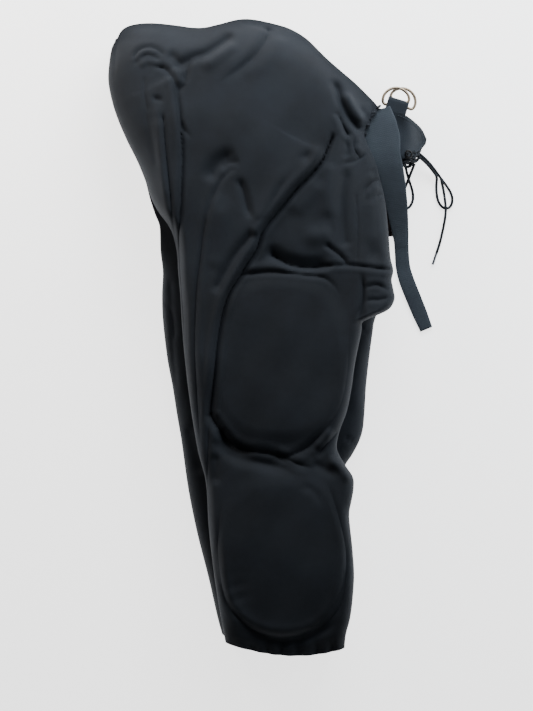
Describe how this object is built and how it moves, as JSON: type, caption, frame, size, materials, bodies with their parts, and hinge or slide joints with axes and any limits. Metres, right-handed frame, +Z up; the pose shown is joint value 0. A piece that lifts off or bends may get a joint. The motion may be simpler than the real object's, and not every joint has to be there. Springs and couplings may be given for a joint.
{
  "type": "padded lace-up sports pants",
  "caption": "Knee-length padded knit sports pants with a lace-up fly, a waist belt with rings, and sewn-in hip, tail, thigh and knee pads, lying on their side.",
  "frame": {"origin": "centre of the pants' bounding box on the floor, without the lace's loose ends", "axes": "+Z up from the floor, +Y from the hems towards the waist, +X from the back of the body towards the fly; the left leg is underneath"},
  "size_m": [0.3975, 0.724, 0.0941],
  "materials": {
    "shell_knit": "matt fine stretch knit",
    "lining_knit": "matt lining knit",
    "pad_foam": "closed-cell foam",
    "elastic_knit": "ribbed elastic",
    "fly_cloth": "plain weave",
    "belt_webbing": "narrow woven webbing",
    "ring_steel": "polished plated wire",
    "eyelet_metal": "black enamelled eyelet",
    "lace_braid": "round braided lace",
    "lace_tag": "crimped tag"
  },
  "bodies": {
    "seat": {"belt_front_strap": "belt_webbing", "belt_tunnel": "lining_knit", "crotch_gusset": "shell_knit", "fly_tongue": "fly_cloth", "lace_bow": "lace_braid", "lace_lower_rung": "lace_braid", "lace_short_end": "lace_braid", "lace_tag": "lace_tag", "lace_tail": "lace_braid", "lace_upper_rung": "lace_braid", "left_eyelets": "eyelet_metal", "left_fly_facing": "fly_cloth", "left_hip_pad": "pad_foam", "left_hip_pad_pocket": "lining_knit", "left_seat_panel": "shell_knit", "right_eyelets": "eyelet_metal", "right_fly_facing": "fly_cloth", "right_hip_pad": "pad_foam", "right_hip_pad_pocket": "lining_knit", "right_seat_panel": "shell_knit", "ring_loop": "belt_webbing", "ring_strap": "belt_webbing", "tail_pad": "pad_foam", "tail_pad_pocket": "lining_knit", "waist_belt": "belt_webbing"},
    "right_thigh": {"right_thigh_pad": "pad_foam", "right_thigh_pad_pocket": "lining_knit", "right_thigh_sleeve": "shell_knit"},
    "right_shin": {"right_hem_elastic": "elastic_knit", "right_knee_pad": "pad_foam", "right_knee_pad_pocket": "lining_knit", "right_knee_sleeve": "shell_knit"},
    "left_thigh": {"left_thigh_pad": "pad_foam", "left_thigh_pad_pocket": "lining_knit", "left_thigh_sleeve": "shell_knit"},
    "left_shin": {"left_hem_elastic": "elastic_knit", "left_knee_pad": "pad_foam", "left_knee_pad_pocket": "lining_knit", "left_knee_sleeve": "shell_knit"},
    "belt_tail": {"belt_tail_strap": "belt_webbing"},
    "upper_ring": {"upper_d_ring": "ring_steel"},
    "lower_ring": {"lower_d_ring": "ring_steel"}
  },
  "joints": [
    {"name": "right_hip", "type": "hinge", "parent": "seat", "child": "right_thigh", "pos_m": [-0.009, 0.06, 0.0573], "axis": [0, 0, 1], "range_deg": [-10, 20]},
    {"name": "right_knee", "type": "hinge", "parent": "right_thigh", "child": "right_shin", "pos_m": [0.04, -0.136, 0.0573], "axis": [0, 0, -1], "range_deg": [-3, 30]},
    {"name": "left_hip", "type": "hinge", "parent": "seat", "child": "left_thigh", "pos_m": [-0.001, 0.06, 0.0198], "axis": [0, 0, 1], "range_deg": [-10, 12]},
    {"name": "left_knee", "type": "hinge", "parent": "left_thigh", "child": "left_shin", "pos_m": [0.04, -0.136, 0.0198], "axis": [0, 0, -1], "range_deg": [-3, 30]},
    {"name": "belt_tail_lift", "type": "hinge", "parent": "seat", "child": "belt_tail", "pos_m": [0.1495, 0.1075, 0.0027], "axis": [-1, 0, 0], "range_deg": [0, 95]},
    {"name": "upper_ring_swing", "type": "hinge", "parent": "seat", "child": "upper_ring", "pos_m": [0.1465, 0.2685, 0.026], "axis": [0.9563, -0.2924, 0], "range_deg": [0, 110]},
    {"name": "lower_ring_swing", "type": "hinge", "parent": "seat", "child": "lower_ring", "pos_m": [0.1465, 0.2685, 0.026], "axis": [0.9563, -0.2924, 0], "range_deg": [0, 95]}
  ],
  "couplings": [
    {"joint": "lower_ring_swing", "follows": "upper_ring_swing", "ratio": 0.85}
  ]
}
